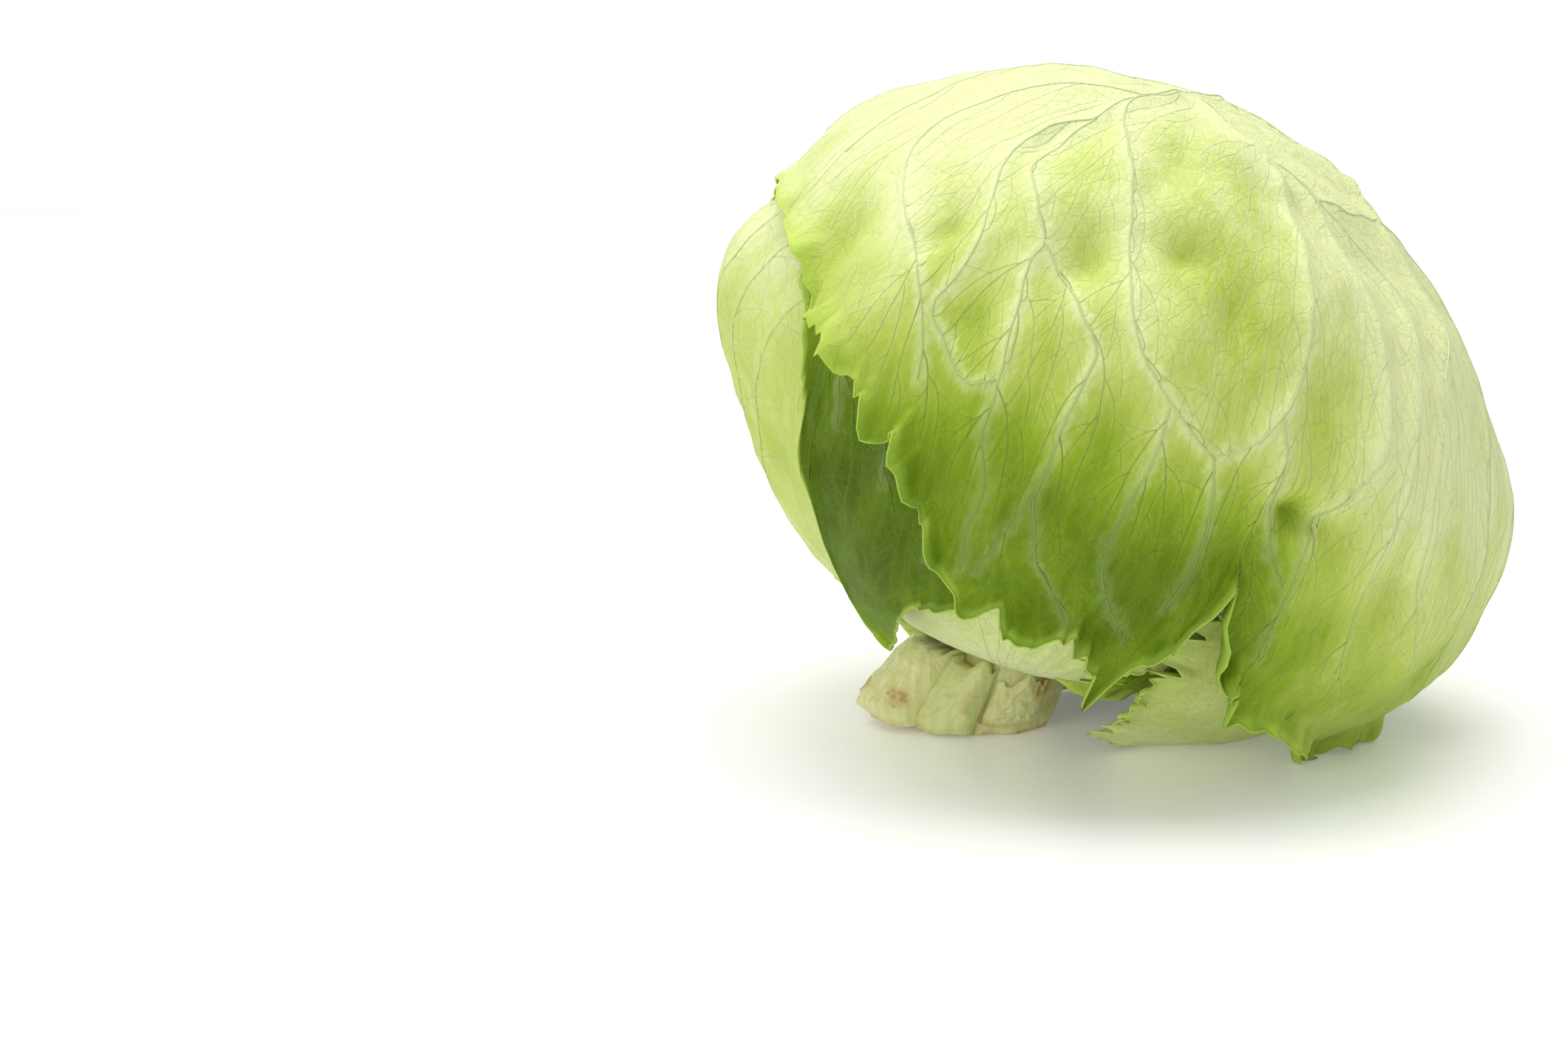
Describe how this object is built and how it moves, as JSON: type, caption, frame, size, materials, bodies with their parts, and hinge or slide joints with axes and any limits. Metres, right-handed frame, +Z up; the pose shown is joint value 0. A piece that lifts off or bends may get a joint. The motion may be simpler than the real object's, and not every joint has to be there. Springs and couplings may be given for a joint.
{
  "type": "iceberg lettuce head",
  "caption": "Whole head of iceberg lettuce with its stem cut off level, leaning to one side on its stem and a side leaf; a crown leaf wraps the nested leaves inside.",
  "frame": {"origin": "middle of the bounding box's bottom face, on the surface that the head rests on", "axes": "+Z up, -Y the front, where the crown leaf's frilly margin comes down over the darker leaves; the head leans to +X, so its cut stem is at the foot on the -X side"},
  "size_m": [0.1602, 0.1536, 0.1336],
  "materials": {
    "wrapper": "waxy green leaf blade with paler veins, soft sheen",
    "shaded": "darker green leaf blade with a bright thin frilly edge",
    "base": "fleshy whitish-green leaf base, smooth and moist",
    "inner": "pale yellow-green inner leaf",
    "heart": "pale yellow heart leaf",
    "stem": "cream stem with brown-pink patches where it was cut",
    "stump": "pale green fleshy stump of a trimmed leaf with brown spots"
  },
  "bodies": {
    "root": {"core_stem": "stem", "trimmed_base_left": "stump", "trimmed_base_front": "stump", "trimmed_base_right": "stump", "crown_wrapper_leaf": "wrapper", "front_left_wrapper_leaf": "shaded", "right_wrapper_leaf": "base", "left_wrapper_leaf": "wrapper", "front_base_leaf": "base", "back_wrapper_leaf": "wrapper", "torn_front_leaf": "shaded", "head_leaf_01": "inner", "head_leaf_02": "inner", "head_leaf_03": "inner", "head_leaf_04": "inner", "head_leaf_05": "inner", "head_leaf_06": "inner", "head_leaf_07": "inner", "head_leaf_08": "inner", "head_leaf_09": "inner", "head_leaf_10": "inner", "heart_leaf_1": "heart", "heart_leaf_2": "heart", "heart_bud": "heart"}
  },
  "joints": []
}
